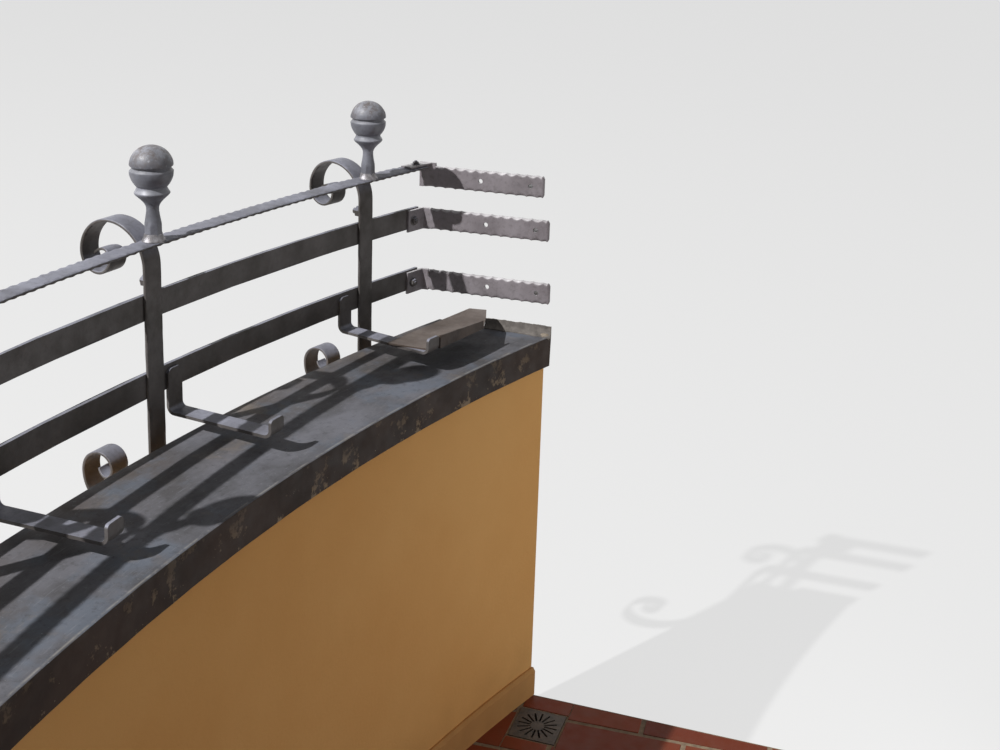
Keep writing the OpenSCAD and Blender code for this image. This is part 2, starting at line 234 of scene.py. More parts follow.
class Finish(Nodes):
    """A material: its colour, roughness and bump are built up and then given to its shader."""

    def __init__(self, name, metallic=0.0, specular=0.5):
        self.material = bpy.data.materials.new(name)
        self.material.use_nodes = True
        super().__init__(self.material.node_tree)
        self.shader = self.tree.nodes["Principled BSDF"]
        self.shader.inputs["Metallic"].default_value = metallic
        self.shader.inputs["Specular IOR Level"].default_value = specular
        self.place = self.add("ShaderNodeTexCoord").outputs["Object"]
        self.normal = None

    def cloud(self, scale, detail=3.0, rough=0.55, at=None, stretch=None):
        """Noise value of features about 1 / scale metres wide."""
        place = at or self.place
        if stretch:
            inputs = {0: place, 1: stretch}
            place = self.add("ShaderNodeVectorMath", inputs, operation="MULTIPLY").outputs[0]
        inputs = {"Vector": place, "Scale": scale, "Detail": detail, "Roughness": rough}
        return self.add("ShaderNodeTexNoise", inputs).outputs[0]

    def cells(self, scale, at=None):
        """Distance to the middle of cells, as smooth hollows."""
        inputs = {"Vector": at or self.place, "Scale": scale, "Smoothness": 0.7}
        return self.add("ShaderNodeTexVoronoi", inputs, feature="SMOOTH_F1").outputs["Distance"]

    def span(self, value, low, high, to_low=0.0, to_high=1.0):
        """Value mapped from one span to another, and held at its ends."""
        inputs = {"Value": value, "From Min": low, "From Max": high,
                  "To Min": to_low, "To Max": to_high}
        return self.add("ShaderNodeMapRange", inputs).outputs[0]

    def mix(self, share, a, b):
        """Colour a at a share of 0, blended into colour b at 1."""
        a = a if isinstance(a, bpy.types.NodeSocket) else linear(a)
        b = b if isinstance(b, bpy.types.NodeSocket) else linear(b)
        node = self.add("ShaderNodeMix", {0: share, 6: a, 7: b}, data_type="RGBA")
        return node.outputs[2]

    def bump(self, height, depth, strength=1.0):
        """Adds a height map whose full range is a depth in metres."""
        inputs = {"Height": height, "Distance": depth, "Strength": strength}
        if self.normal:
            inputs["Normal"] = self.normal
        self.normal = self.add("ShaderNodeBump", inputs).outputs[0]

    def parts(self, vector):
        """X, Y and Z of a vector."""
        return self.add("ShaderNodeSeparateXYZ", {0: vector}).outputs

    def curve_place(self):
        """Place as metres along the curve, radius and height."""
        inputs = {0: self.place, 1: CENTRE}
        at = self.add("ShaderNodeVectorMath", inputs, operation="SUBTRACT").outputs[0]
        x, y, z = self.parts(at)
        square = self.maths("ADD", self.maths("MULTIPLY", x, x), self.maths("MULTIPLY", y, y))
        radius = self.maths("SQRT", square)
        angle = self.maths("ARCTAN2", y, self.maths("MULTIPLY", x, -1.0))
        along = self.maths("MULTIPLY", angle, RAIL_R)
        place = self.add("ShaderNodeCombineXYZ", {0: along, 1: radius, 2: z}).outputs[0]
        return place, radius, z

    def up(self):
        """How far the surface faces the sky."""
        return self.parts(self.add("ShaderNodeNewGeometry").outputs["Normal"])[2]

    def done(self, colour, roughness):
        """The material, once its colour and roughness are given to the shader."""
        links, shader = self.tree.links, self.shader
        links.new(colour, shader.inputs["Base Color"])
        if isinstance(roughness, bpy.types.NodeSocket):
            links.new(roughness, shader.inputs["Roughness"])
        else:
            shader.inputs["Roughness"].default_value = roughness
        if self.normal:
            links.new(self.normal, shader.inputs["Normal"])
        return self.material


def render_finish(name, light, dark, deep_tone):
    """Trowelled and painted render: broad tone changes, low waves and a fine sandy grain."""
    f = Finish(name, specular=0.25)
    z = f.parts(f.place)[2]
    tone = f.mix(f.span(f.cloud(2.2, 4), 0.35, 0.7), light, dark)
    grain = f.cloud(900, 2, 0.7)
    tone = f.mix(f.span(grain, 0.55, 0.75, 0, 0.22), tone, deep_tone)
    # Darker towards the bottom, in patches.
    foot = f.maths("MULTIPLY", f.span(z, 0.0, 0.16, 1, 0), f.span(f.cloud(9, 5), 0.35, 0.7))
    tone = f.mix(f.maths("MULTIPLY", foot, 0.4), tone, deep_tone)
    f.bump(f.cloud(7, 3), 0.004, 0.5)
    f.bump(f.cloud(160, 3, 0.6), 0.0012, 0.5)
    f.bump(grain, 0.0007, 0.6)
    return f.done(tone, 0.92)


def concrete_finish():
    """Rendered slab edge and underside: grey beige with pores and water marks."""
    f = Finish("slab_concrete", specular=0.25)
    tone = f.mix(f.span(f.cloud(3, 5), 0.35, 0.7), (190, 180, 160), (160, 150, 132))
    marks = f.cloud(20, 5, stretch=(1, 1, 0.15))
    tone = f.mix(f.span(marks, 0.55, 0.8, 0, 0.5), tone, (120, 112, 100))
    pores = f.cloud(420, 2, 0.6)
    tone = f.mix(f.span(pores, 0.62, 0.75, 0, 0.5), tone, (105, 98, 88))
    f.bump(f.cloud(30, 4), 0.002, 0.5)
    f.bump(pores, 0.001, 0.6)
    return f.done(tone, 0.93)


def iron_finish(name, side, upper, specular=0.2, crown_wear_and_glint=False):
    """Forged iron under grey paint: hammer hollows, grime in patches and a little rust.
    side and upper are its tones on upright faces and on those facing up: painted shade and light."""
    f = Finish(name, metallic=0.03, specular=specular)
    patches = f.span(f.cloud(16, 5), 0.35, 0.68)
    # Darker, warmer upright faces and lighter, bluer faces to the sky: painted shade and light.
    tone = f.mix(f.span(f.up(), 0.2, 0.6), f.mix(patches, *side), f.mix(patches, *upper))
    tone = f.mix(f.span(f.cloud(130, 4, 0.65), 0.5, 0.75, 0, 0.4), tone, (66, 62, 60))
    tone = f.mix(f.span(f.cloud(48, 6, 0.7), 0.66, 0.76, 0, 0.7), tone, (92, 70, 55))
    # Brown worn patches on the ball's crown, and pale patches there that are a painted highlight.
    if crown_wear_and_glint:
        z = f.parts(f.place)[2]
        crown = f.span(z, HAND_Z + HAND_T + 0.100, HAND_Z + HAND_T + 0.135)
        worn = f.maths("MULTIPLY", crown, f.span(f.cloud(90, 5, 0.7), 0.42, 0.62))
        tone = f.mix(f.maths("MULTIPLY", worn, 0.7), tone, (78, 64, 54))
        painted_glint = f.maths("MULTIPLY", crown, f.span(f.cloud(150, 4, 0.7), 0.58, 0.7))
        tone = f.mix(f.maths("MULTIPLY", painted_glint, 0.8), tone, (170, 172, 178))
    f.bump(f.cells(55), 0.0012, 0.35)
    f.bump(f.cloud(260, 3, 0.6), 0.0004, 0.5)
    return f.done(tone, f.span(f.cloud(60, 4), 0.3, 0.7, 0.4, 0.6))


def coping_finish():
    """Weathered sheet: grey top with blue and brown patches, streaks, specks and a worn inner
    edge, and an apron with beige scuffs whose brown black is part paint, part painted shade."""
    f = Finish("coping_metal", specular=0.15)
    place, radius, z = f.curve_place()
    patches = f.cloud(1, 6, 0.62, at=place, stretch=(7, 13, 20))
    top = f.mix(f.span(patches, 0.36, 0.66), (109, 109, 115), (77, 76, 78))
    outer = f.span(radius, WALL_RI + 0.06, COPING_RO)
    brown = f.maths("MULTIPLY", outer, f.span(f.cloud(7, 5), 0.32, 0.6))
    top = f.mix(f.maths("MULTIPLY", brown, 0.7), top, (80, 70, 62))
    top = f.mix(f.span(f.cloud(11, 5, 0.6), 0.52, 0.64, 0, 0.55), top, (100, 108, 120))
    top = f.mix(f.span(f.cloud(8, 6, 0.65), 0.44, 0.34, 0, 0.55), top, (122, 112, 102))
    mottle = f.cloud(95, 5, 0.7)
    top = f.mix(f.span(mottle, 0.54, 0.70, 0, 0.45), top, (56, 54, 54))
    top = f.mix(f.span(mottle, 0.40, 0.28, 0, 0.5), top, (124, 124, 128))
    streaks = f.cloud(1, 5, 0.65, at=place, stretch=(26, 330, 60))
    top = f.mix(f.span(streaks, 0.58, 0.70, 0, 0.35), top, (134, 135, 140))
    specks = f.cloud(330, 2, 0.6)
    top = f.mix(f.span(specks, 0.70, 0.76, 0, 0.6), top, (158, 158, 158))
    from_edge = f.maths("ABSOLUTE", f.maths("SUBTRACT", radius, COPING_RI + 0.004))
    line = f.span(from_edge, 0.0, 0.0025, 1, 0)
    line = f.maths("MULTIPLY", line, f.span(f.cloud(26, 4, 0.7), 0.42, 0.55))
    top = f.mix(f.maths("MULTIPLY", line, 0.5), top, (166, 162, 156))
    # The apron's brown black is partly its own paint and partly painted shade.
    side = f.mix(f.span(f.cloud(9, 5, 0.6), 0.35, 0.7), (66, 55, 49), (44, 38, 35))
    low = f.span(z, COPING_Z - APRON_H, COPING_Z - 0.012, 1, 0.25)
    scuff = f.maths("MULTIPLY", low, f.span(f.cloud(21, 6, 0.72), 0.56, 0.61))
    side = f.mix(f.maths("MULTIPLY", scuff, 0.75), side, (156, 138, 114))
    chips = f.maths("MULTIPLY", low, f.span(f.cloud(120, 4, 0.7), 0.68, 0.74))
    side = f.mix(f.maths("MULTIPLY", chips, 0.9), side, (190, 176, 150))
    tone = f.mix(f.span(f.up(), 0.45, 0.75), side, top)
    f.bump(f.cloud(5, 3), 0.0025, 0.5)
    f.bump(streaks, 0.0004, 0.4)
    return f.done(tone, f.span(f.cloud(35, 4), 0.3, 0.7, 0.55, 0.75))


def tile_finish():
    """Split clay tiles: each its own red brown, with fine burnt flecks."""
    f = Finish("tile", specular=0.12)
    tone = f.add("ShaderNodeAttribute", attribute_name="tone").outputs["Fac"]
    colour = f.mix(tone, (98, 44, 28), (130, 64, 41))
    flecks = f.cloud(520, 3, 0.7)
    colour = f.mix(f.span(flecks, 0.58, 0.72, 0, 0.6), colour, (62, 32, 26))
    colour = f.mix(f.span(f.cloud(14, 5), 0.5, 0.8, 0, 0.5), colour, (104, 70, 54))
    f.bump(f.cloud(60, 3), 0.0008, 0.4)
    f.bump(flecks, 0.0003, 0.5)
    return f.done(colour, f.span(f.cloud(40, 4), 0.3, 0.7, 0.38, 0.6))


def plain_finish(name, light, dark, scale, roughness, metallic=0.0):
    """Two tones in patches with a fine grain, for joints, sealant, cast metal and screws."""
    f = Finish(name, metallic=metallic)
    tone = f.mix(f.span(f.cloud(scale, 5, 0.65), 0.35, 0.68), light, dark)
    f.bump(f.cloud(scale * 12, 3, 0.6), 0.0005, 0.6)
    return f.done(tone, roughness)


ochre = render_finish("render", (238, 186, 116), (228, 172, 102), (176, 130, 80))
skirt = render_finish("skirting", (214, 162, 100), (194, 142, 84), (140, 104, 66))
concrete = concrete_finish()
# Each iron's second pair of tones, on faces that look up, is painted light.
iron = iron_finish("iron", ((99, 95, 94), (68, 64, 61)), ((140, 141, 153), (108, 108, 116)))
# The straps' iron is a lighter copy of the rails' iron, near white on faces that look up: painted
# light and painted highlights.
strap_iron_painted_lit = iron_finish("strap_iron_painted_lit", ((136, 130, 134), (112, 106, 109)),
                         ((205, 202, 204), (160, 156, 158)), 0.3)
# The finials' iron is a lighter, bluer copy of the rails' iron: painted light.
finial_iron = iron_finish("finial_iron", ((120, 121, 130), (82, 83, 90)),
                          ((152, 153, 161), (104, 105, 111)), 0.5, True)
# The box rest's iron is a darker, browner copy: partly its own brown, partly painted shade; its top
# tone is painted light.
rest_iron_brown_and_shaded = iron_finish("rest_iron_brown_and_shaded", ((88, 77, 70), (60, 52, 47)),
                        ((112, 102, 96), (82, 73, 67)), 0.15)
coping_metal = coping_finish()
tile = tile_finish()
joint = plain_finish("tile_joint", (142, 124, 102), (104, 88, 72), 60, 0.95)
cast = plain_finish("drain", (84, 72, 61), (44, 37, 31), 70, 0.65, 0.15)
zinc = plain_finish("fastener", (142, 142, 144), (92, 88, 84), 120, 0.4, 0.7)
weld = plain_finish("weld", (150, 148, 152), (96, 92, 92), 140, 0.42, 0.5)
dirty_metal = plain_finish("dirty_metal", (112, 106, 101), (76, 71, 67), 70, 0.8)
sealant = plain_finish("sealant", (140, 128, 112), (96, 84, 72), 80, 0.7)


def dress(material, *names):
    """Gives CAD nodes a material."""
    for name in names:
        mesh = nodes[name].data
        mesh.materials.clear()
        mesh.materials.append(material)


def soften(width, *names):
    """Rounds the sharp edges of CAD nodes."""
    for name in names:
        flat = nodes[name].modifiers.new("flat", "DECIMATE")
        flat.decimate_type = "DISSOLVE"
        flat.angle_limit = math.radians(2)
        bevel = nodes[name].modifiers.new("edges", "BEVEL")
        bevel.width = width
        bevel.segments = 3
        bevel.limit_method = "ANGLE"
        bevel.angle_limit = math.radians(40)
        bevel.harden_normals = True


def to_mesh(name, bm):
    """The finished mesh of a bmesh, which is freed."""
    bmesh.ops.recalc_face_normals(bm, faces=bm.faces)
    mesh = bpy.data.meshes.new(name)
    bm.to_mesh(mesh)
    bm.free()
    return mesh


def piece(name, shape, materials, stands_for=(), sharp=35):
    """Links a bmesh or mesh as a piece of the object that rides on the body."""
    mesh = to_mesh(name, shape) if isinstance(shape, bmesh.types.BMesh) else shape
    mesh.validate()
    for face in mesh.polygons:
        face.use_smooth = True
    mesh.set_sharp_from_angle(angle=math.radians(sharp))
    for material in materials:
        mesh.materials.append(material)
    thing = bpy.data.objects.new(name, mesh)
    bpy.context.scene.collection.objects.link(thing)
    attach(thing, "root")
    if stands_for:
        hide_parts(*stands_for)
    return thing


def skin(bm, rings):
    """Joins rings of points by quads, with a face over each end."""
    rows = [[bm.verts.new(p) for p in ring] for ring in rings]
    n = len(rows[0])
    for a, b in zip(rows, rows[1:]):
        for i in range(n):
            j = (i + 1) % n
            bm.faces.new((a[i], a[j], b[j], b[i]))
    bm.faces.new(rows[0][::-1])
    bm.faces.new(rows[-1])


def circle(sides, start=0.0):
    """Angles of a ring's points."""
    return [start + 2 * math.pi * i / sides for i in range(sides)]


# Forged flat bars

ACROSS = (-0.95, -0.6, -0.2, 0.2, 0.6, 0.95)


def bar_ring(middle, normal, side, half_w, half_t, dent):
    """Section of a forged bar: two hammered faces and two soft edges. dent gives the share of the
    width and of the thickness that the hammer leaves at a point."""
    ring = [(u, 1.0) for u in ACROSS] + [(1.0, 0.5), (1.0, -0.5)]
    ring += [(u, -1.0) for u in reversed(ACROSS)] + [(-1.0, -0.5), (-1.0, 0.5)]
    points = []
    for u, v in ring:
        w, t = dent(u, v)
        points.append(middle + side * (u * half_w * w) + normal * (v * half_t * t))
    return points


def turtle(x, z, heading, parts, step=0.004):
    """Places along lines and arcs, given as (length, turn): (x, z, heading)."""
    places = [(x, z, heading)]
    for length, turn in parts:
        count = max(2, round(length / step))
        for _ in range(count):
            half = turn / count / 2
            chord = length / count * (math.sin(half) / half if half else 1)
            x += chord * math.cos(heading + half)
            z += chord * math.sin(heading + half)
            heading += 2 * half
            places.append((x, z, heading))
    return places


def curl(turns, sign):
    """Arcs of a scroll as (length, turn)."""
    return [(r * math.radians(a), sign * math.radians(a)) for r, a in turns]


def bar_rows(places, taper_length, tip_w, tip_t):
    """Stations of a bar that narrows over its last stretch:
    (x, z, heading, half width, half thickness)."""
    rows = []
    travel = [0.0]
    for a, b in zip(places, places[1:]):
        travel.append(travel[-1] + math.hypot(b[0] - a[0], b[1] - a[1]))
    for place, d in zip(places, travel):
        share = min(max(1 - (travel[-1] - d) / taper_length, 0), 1)
        rows.append((*place, BAR_W / 2 + (tip_w - BAR_W) / 2 * share ** 0.9,
                     POST_T / 2 + (tip_t - POST_T) / 2 * share ** 2))
    return rows


def post_bar(number):
    """The post and its two scrolls as one forged bar, with the stub to the parapet."""
    low = POST_LOW - LOW_DROP.get(number, 0)
    up = turtle(POST_X, low, math.pi / 2, [(POST_TOP - low, 0.0)] + curl(UPPER_TURNS, -1))
    down = turtle(POST_X, low, -math.pi / 2, curl(LOWER_TURNS, 1))
    upper = bar_rows(up, *UPPER_TIP)
    lower = bar_rows(down, *LOWER_TIP)
    rows = [(x, z, h + math.pi, w, t) for x, z, h, w, t in reversed(lower)][:-1] + upper
    hammer_pitch = 45
    bm = bmesh.new()
    rings = []
    travel = 0.0
    before = None
    for x, z, heading, half_w, half_t in rows:
        middle = Vector((x, 0, z))
        travel += (middle - before).length if before else 0
        before = middle
        normal = Vector((-math.sin(heading), 0, math.cos(heading)))
        here = travel * hammer_pitch

        def dent(u, v):
            edge = 1 - 0.045 * wander(here, u, 0, number)
            face = 1 - 0.16 * wander(here * 0.8, u * 1.6, v * 3, number + 20)
            return edge, face

        rings.append(bar_ring(middle, normal, Vector((0, 1, 0)), half_w, half_t, dent))
    skin(bm, rings)
    x0, x1 = WALL_RO - RAIL_R, POST_X
    box = bmesh.ops.create_cube(bm, size=1)["verts"]
    bmesh.ops.scale(bm, vec=(x1 - x0, BAR_W, STUB_T), verts=box)
    bmesh.ops.translate(bm, vec=((x0 + x1) / 2, 0, STUB_Z + STUB_T / 2), verts=box)
    bmesh.ops.transform(bm, matrix=at_post(number), verts=bm.verts)
    stands_for = ("post_%d" % number, "scroll_%d" % number)
    piece("post_bar_%d" % number, bm, [iron], stands_for, 50)


def handrail():
    """The flat handrail with its hammered, wavy edges. It lies flat under the strap's lug, and past
    it tilts inward and stands a little high, which fades along the rail."""
    bm = bmesh.new()
    rings = []
    count = 1100
    lug_l = 0.08
    width, inner = HAND_FORGED_W, HAND_X - HAND_W / 2 - HAND_FORGED_IN
    for k in range(count + 1):
        s = RUN_L * k / count
        matrix = on_rails(s)
        out = outward(matrix)
        free = min(max(s / lug_l, 0), 1)
        free = free * free * (3 - 2 * free)
        tilt = math.radians((3 + 6 * math.exp(-s / 0.6)) * free)
        lift = (0.0035 * math.exp(-s / 0.35) - 0.0010) * free
        up = Vector((0, 0, 1)) * math.cos(tilt) - out * math.sin(tilt)
        side = out * math.cos(tilt) + Vector((0, 0, 1)) * math.sin(tilt)
        middle = matrix @ Vector((inner + width / 2, 0, HAND_Z + HAND_T / 2 + lift))
        phase = {edge: s * 340 + 2.2 * wander(s * 9, edge, 0, 3) for edge in (-1, 1)}

        def dent(u, v):
            edge = 1 if u > 0 else -1
            bite = 0.5 - 0.5 * math.sin(phase[edge] + edge)
            narrow = 1 - 0.15 * bite * wander(s * 30, edge * 4, 0, 5)
            worn = 0.25 * bite if abs(u) > 0.9 else 0
            face = 1 - 0.24 * wander(s * 55, u * 1.3, v * 2, 6) - worn
            return narrow, face

        rings.append(bar_ring(middle, up, side, width / 2, HAND_T / 2, dent))
    skin(bm, rings)
    piece("handrail_bar", bm, [iron], ("handrail",), 50)


# Finials

# Millimetres: height above the handrail and radius, from the neck over the collar to the bowl, and
# the ball's radius, its widest height, and the groove's two heights and its radius
NECK = ((30, 11.8), (38, 10.4), (44, 9.6), (50, 9.6), (53, 10.6), (56.2, 12.3), (59, 14.6),
        (62.2, 17.6), (65.5, 21.2), (68.2, 24.2), (70.4, 26.0), (71.4, 26.5), (72.6, 26.4),
        (73.4, 26.0), (75, 24.8), (77.5, 23.3), (80, 22.4), (81.5, 22.2))
BALL_R, BALL_LOW, GROOVE_LOW, GROOVE_TOP, GROOVE_R = 32.5, 104.5, 108.6, 112.3, 28.9
FOOT_R, FOOT_FLAT, FOOT_TOP, FOOT_SIDES = 13.4, 12.4, 36, 8


def finial_profile():
    """Heights and radii of a finial, in millimetres."""
    profile = [(z, FOOT_R) for z in (0, 4, 8, 12, 16, 20, 23)] + [(26, 12.8)] + list(NECK)
    for i in range(9):
        dz = -21.8 * (1 - i / 8) - 0.4
        profile.append((BALL_LOW + dz, math.sqrt(BALL_R ** 2 - dz ** 2)))
    profile += [(BALL_LOW + 0.6, 32.2), (GROOVE_LOW - 0.6, GROOVE_R + 0.5), (GROOVE_LOW, GROOVE_R)]
    profile += [(GROOVE_TOP - 0.2, GROOVE_R), (GROOVE_TOP, GROOVE_R + 0.4)]
    profile += [(GROOVE_TOP, BALL_R - 0.9), (GROOVE_TOP + 0.5, BALL_R - 0.3)]
    for i in range(15):
        a = math.radians(4 + 84 * i / 14)
        profile.append((GROOVE_TOP + 30.4 * math.sin(a), BALL_R * math.cos(a)))
    return profile


def finial(number):
    """Turned and hammered finial on its eight sided foot."""
    matrix = at_foot(number)
    corner = math.pi / FOOT_SIDES
    rings = []
    for z, r in finial_profile():
        ring = []
        for a in circle(64, corner):
            within = (a - corner) % (2 * corner) - corner
            limit = FOOT_FLAT / math.cos(within) if z < FOOT_TOP else r
            dent = 1 - 0.035 * wander(3 * math.cos(a), 3 * math.sin(a), z * 0.12, number + 40)
            out = min(r, limit) * dent
            ring.append(matrix @ (Vector((out * math.cos(a), out * math.sin(a), z)) / 1000))
        rings.append(ring)
    bm = bmesh.new()
    skin(bm, rings)
    piece("turned_finial_%d" % number, bm, [finial_iron], ("finial_%d" % number,), 30)


def foot_welds():
    """The lumpy weld round each finial's foot, longer along the handrail than across it."""
    bm = bmesh.new()
    profile = ((-0.0040, 0.0172), (0.0000, 0.0176), (0.0018, 0.0166), (0.0042, 0.0150),
               (0.0075, 0.0139), (0.0105, 0.0131))
    least_r, across, along = 0.0129, 0.93, 1.1
    for number in POSTS:
        matrix = at_foot(number)
        rings = []
        for z, r in profile:
            ring = []
            for a in circle(40):
                x, y = math.cos(a), math.sin(a)
                lump = 0.88 + 0.24 * wander(2 * x, 2 * y, z * 200, number + 60)
                r_here = least_r + (r - least_r) * lump
                ring.append(matrix @ Vector((r_here * across * x, r_here * along * y, z)))
            rings.append(ring)
        skin(bm, rings)
    piece("foot_welds", bm, [weld])


# Coping

def coping_section(fold):
    """The sheet's closed section as (radius, height), with soft folds at both edges."""
    inner, outer, sheet = COPING_RI, COPING_RO, SHEET_T
    low, drip = COPING_Z - APRON_H, COPING_Z + COPING_FALL - DRIP_H
    ring = [(inner, low + share * (APRON_H - fold)) for share in (0, 0.05, 0.3, 0.6, 0.9, 1)]
    ring += [(inner + 0.3 * fold, COPING_Z - 0.3 * fold), (inner + fold, coping_top(inner + fold))]
    count = 12
    for i in range(1, count):
        r = inner + fold + (outer - inner - 2 * fold) * i / count
        ring.append((r, coping_top(r)))
    ring += [(outer - fold, coping_top(outer - fold)),
             (outer - 0.3 * fold, coping_top(outer) - 0.3 * fold),
             (outer, coping_top(outer) - fold), (outer, drip), (outer - sheet, drip),
             (outer - sheet, coping_top(outer) - sheet),
             (inner + sheet, COPING_Z - sheet), (inner + sheet, low)]
    return ring


def coping():
    """One long sheet with soft folds, its apron and its top a little uneven."""
    fold = 0.002
    section = coping_section(fold)
    steps = 420
    rings = []
    for k in range(steps + 1):
        share = k / steps
        s = share * RUN_L
        row = []
        for r, z in section:
            if z > COPING_Z - 0.0005 and COPING_RI + fold < r < COPING_RO - fold:
                z -= 0.0009 * wander(s * 7, r * 22, 0, 8)
            if r == COPING_RI:
                fall = (COPING_Z - z) / APRON_H
                wave = 0.0014 * wander(s * 14, z * 8, 0, 9) + 0.0006 * wander(s * 60, 0, 0, 10)
                r += fall * wave
            start = wall_angle(r)
            row.append(at_plan(r, start + (CUT_A - start) * share, z))
        rings.append(row)
    bm = bmesh.new()
    skin(bm, rings)
    names = ("coping_1", "coping_2", "coping_3")
    piece("coping_sheet", bm, [coping_metal], names, 40)


def upstand():
    """The coping's upturned end against the house wall: it follows the slope, has a rough top edge,
    and a fillet of old sealant runs along its foot."""
    count = 60
    under, fillet_h = 0.002, 0.0055
    rings = []
    for i in range(count + 1):
        x = UPSTAND_X + (COPING_INNER_X - UPSTAND_X) * i / count
        base = coping_top(math.hypot(CURVE_X - x, CURVE_Y)) - under
        rough = 0.0028 * wander(x * 90, 0, 0, 12) + 0.0016 * wander(x * 300, 0, 0, 13)
        top = COPING_Z + COPING_FALL + UPSTAND_H - rough
        thick = SHEET_T * (0.7 + 0.3 * wander(x * 60, 1, 0, 14))
        fillet = 0.006 + 0.005 * wander(x * 70, 2, 0, 15)
        profile = ((0, base), (SHEET_T + fillet, base), (SHEET_T + fillet, base + 0.003),
                   (SHEET_T + fillet * 0.4, base + fillet_h), (SHEET_T, base + 0.010),
                   (thick, top - 0.0006), (thick * 0.5, top), (0, top - 0.0003))
        rings.append([Vector((x, -out, z)) for out, z in profile])
    bm = bmesh.new()
    skin(bm, rings)
    piece("upstand_sheet", bm, [dirty_metal], ("coping_upstand",), 40)


# Floor

def clip(polygon, normal, offset):
    """Part of a convex plan polygon where its points' product with normal is below offset."""
    kept = []
    for a, b in zip(polygon, polygon[1:] + polygon[:1]):
        da, db = a.dot(normal) - offset, b.dot(normal) - offset
        if da <= 0:
            kept.append(a)
        if (da < 0 < db) or (db < 0 < da):
            kept.append(a.lerp(b, da / (da - db)))
    return kept


def floor_outline():
    """Plan of the floor: down its straight side, over the cut and back round the curve."""
    cut = Vector((math.cos(CUT_A), math.sin(CUT_A)))
    centre = Vector((CURVE_X, -CURVE_Y))
    reach = (FLOOR_W - CURVE_X) / cut.x
    points = [Vector((FLOOR_W, 0)), centre + cut * reach]
    start = wall_angle(WALL_RI)
    count = 160
    for i in range(count + 1):
        a = CUT_A + (start - CUT_A) * i / count
        points.append(centre + WALL_RI * Vector((math.cos(a), math.sin(a))))
    return points


def inward_limits(outline):
    """Each edge of a plan outline as (outward normal, offset)."""
    pairs = list(zip(outline, outline[1:] + outline[:1]))
    side = 1 if sum(a.cross(b) for a, b in pairs) > 0 else -1
    limits = []
    for a, b in pairs:
        along = (b - a).normalized()
        normal = Vector((along.y, -along.x)) * side
        limits.append((normal, a.dot(normal)))
    return limits


def bed(bm, loops):
    """The bed that the tiles stand in, up to their joints, with the drain's hole."""
    edges = []
    for loop in loops:
        verts = [bm.verts.new((p.x, p.y, -JOINT_DEPTH)) for p in loop]
        edges += [bm.edges.new((a, b)) for a, b in zip(verts, verts[1:] + verts[:1])]
    bmesh.ops.triangle_fill(bm, edges=edges, use_beauty=True)
    made = bmesh.ops.extrude_face_region(bm, geom=bm.faces[:])
    for v in made["geom"]:
        if isinstance(v, bmesh.types.BMVert):
            v.co.z = -BED_T
    for face in bm.faces:
        face.material_index = 1


def floor():
    """Split tiles in running bond on their bed, cut round the drain."""
    outline = floor_outline()
    limits = inward_limits(outline)
    half = DRAIN_W / 2
    drain = Vector(DRAIN_AT)
    bm = bmesh.new()
    bed(bm, (outline, [drain + Vector(c) * half for c in ((-1, -1), (1, -1), (1, 1), (-1, 1))]))
    tone_layer = bm.faces.layers.float.new("tone")
    turn = Matrix.Rotation(math.radians(TILE_TURN), 2)
    for row in range(-2, 36):
        shift = TILE_SHIFT if row % 2 == 0 else 0.0
        for column in range(-12, 12):
            x0 = shift + column * (TILE_L + TILE_GAP) + TILE_GAP / 2
            y0 = -row * (TILE_W + TILE_GAP) - TILE_GAP / 2
            x1, y1 = x0 + TILE_L, y0 - TILE_W
            corners = [(x0, y0), (x1, y0), (x1, y1), (x0, y1)]
            shape = [turn @ Vector(c) + Vector(TILE_ORIGIN) for c in corners]
            tone = random.random()
            low = random.uniform(0, 0.0003)
            for normal, offset in limits:
                shape = clip(shape, normal, offset - EDGE_GAP)
                if len(shape) < 3:
                    break
            else:
                for cut_shape in around_drain(shape, drain, half + EDGE_GAP):
                    add_tile(bm, cut_shape, -low, tone, tone_layer)
    piece("floor_tiles", bm, [tile, joint], ("tile_bed",), 30)


def around_drain(shape, drain, half):
    """A tile's outline, cut into the parts that lie beside a square."""
    x0, x1, y0, y1 = drain.x - half, drain.x + half, drain.y - half, drain.y + half
    xs, ys = [p.x for p in shape], [p.y for p in shape]
    if max(xs) <= x0 or min(xs) >= x1 or max(ys) <= y0 or min(ys) >= y1:
        return [shape]
    right, up = Vector((1, 0)), Vector((0, 1))
    lap = 0.002
    parts = [clip(shape, right, x0), clip(shape, -right, -x1)]
    middle = clip(clip(shape, right, x1 - lap), -right, -x0 - lap)
    if len(middle) > 2:
        parts += [clip(middle, up, y0), clip(middle, -up, -y1)]
    return [p for p in parts if len(p) > 2 and size_of(p) > SMALLEST_TILE]


def size_of(polygon):
    """Area of a plan polygon."""
    return abs(sum(a.cross(b) for a, b in zip(polygon, polygon[1:] + polygon[:1]))) / 2


def add_tile(bm, shape, top, tone, layer):
    """A tile with softened upper edges, standing in the bed."""
    if size_of(shape) < SMALLEST_TILE:
        return
    middle = sum(shape, Vector((0, 0))) / len(shape)
    rings = []
    for inset, z in ((0, -0.006), (0, top - TILE_SOFT), (TILE_SOFT, top)):
        rings.append([(*(p - (p - middle).normalized() * inset), z) for p in shape])
    before = len(bm.faces)
    skin(bm, rings)
    bm.faces.ensure_lookup_table()
    for face in bm.faces[before:]:
        face[layer] = tone


# Fasteners and small pieces

def lathe(bm, matrix, profile, sides, twist=0.0):
    """Adds a turned or many sided solid whose profile is (distance along z, radius)."""
    rings = []
    for z, r in profile:
        rings.append([matrix @ Vector((r * math.cos(a), r * math.sin(a), z))
                      for a in circle(sides, twist)])
    skin(bm, rings)


def looking(direction, at):
    """Matrix whose z axis points along a direction."""
    turn = Vector(direction).to_track_quat("Z", "Y").to_matrix().to_4x4()
    return Matrix.Translation(at) @ turn


